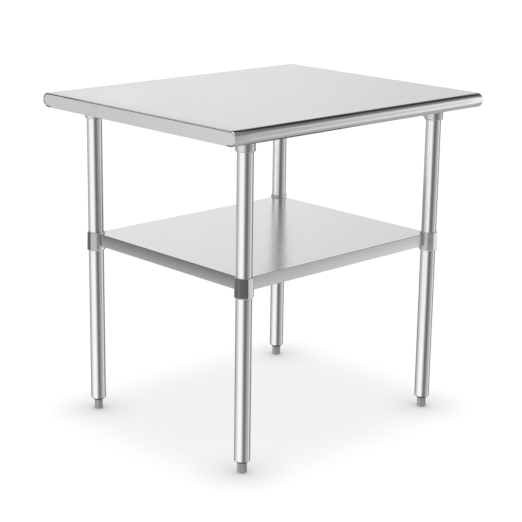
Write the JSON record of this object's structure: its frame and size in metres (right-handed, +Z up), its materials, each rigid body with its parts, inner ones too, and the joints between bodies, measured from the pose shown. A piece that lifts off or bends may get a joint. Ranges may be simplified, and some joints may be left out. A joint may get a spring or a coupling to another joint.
{
  "type": "work table",
  "caption": "Kitchen work table: stainless top with rolled front and rear edges, round galvanised legs, height-adjustable undershelf, levelling feet.",
  "frame": {"origin": "on the floor under the centre of the top, with the feet screwed fully in", "axes": "+X along the rolled edges to the right, +Y from the front edge to the rear, +Z up"},
  "size_m": [0.914, 0.7618, 0.902],
  "materials": {
    "stainless_sheet": "brushed along the length of the top",
    "galvanised_sheet": "galvanised, fine rolled grain",
    "galvanised_tube": "bright galvanised tube",
    "cast_clamp": "as cast, light grey",
    "plated_screw": "zinc plated",
    "dark_plastic": "matt moulded",
    "grey_plastic": "matt moulded"
  },
  "bodies": {
    "frame": {"table_top": "stainless_sheet", "end_plate_left": "stainless_sheet", "end_plate_right": "stainless_sheet", "top_channel_left": "galvanised_sheet", "top_channel_right": "galvanised_sheet", "socket_front_left": "cast_clamp", "socket_front_right": "cast_clamp", "socket_rear_left": "cast_clamp", "socket_rear_right": "cast_clamp", "socket_screws": "plated_screw", "leg_front_left": "galvanised_tube", "leg_front_right": "galvanised_tube", "leg_rear_left": "galvanised_tube", "leg_rear_right": "galvanised_tube", "bush_front_left": "dark_plastic", "bush_front_right": "dark_plastic", "bush_rear_left": "dark_plastic", "bush_rear_right": "dark_plastic"},
    "shelf": {"undershelf": "galvanised_sheet", "shelf_stiffener": "galvanised_sheet", "collar_front_left": "cast_clamp", "collar_front_right": "cast_clamp", "collar_rear_left": "cast_clamp", "collar_rear_right": "cast_clamp", "collar_screws": "plated_screw"},
    "levelling_foot_front_left": {"stud_front_left": "plated_screw", "foot_front_left": "grey_plastic"},
    "levelling_foot_front_right": {"stud_front_right": "plated_screw", "foot_front_right": "grey_plastic"},
    "levelling_foot_rear_left": {"stud_rear_left": "plated_screw", "foot_rear_left": "grey_plastic"},
    "levelling_foot_rear_right": {"stud_rear_right": "plated_screw", "foot_rear_right": "grey_plastic"}
  },
  "joints": [
    {"name": "shelf_height", "type": "slide", "parent": "frame", "child": "shelf", "axis": [0, 0, 1], "range_m": [-0.35, 0.25]},
    {"name": "foot_travel_front_left", "type": "slide", "parent": "frame", "child": "levelling_foot_front_left", "axis": [0, 0, -1], "range_m": [0, 0.025]},
    {"name": "foot_travel_front_right", "type": "slide", "parent": "frame", "child": "levelling_foot_front_right", "axis": [0, 0, -1], "range_m": [0, 0.025]},
    {"name": "foot_travel_rear_left", "type": "slide", "parent": "frame", "child": "levelling_foot_rear_left", "axis": [0, 0, -1], "range_m": [0, 0.025]},
    {"name": "foot_travel_rear_right", "type": "slide", "parent": "frame", "child": "levelling_foot_rear_right", "axis": [0, 0, -1], "range_m": [0, 0.025]}
  ]
}
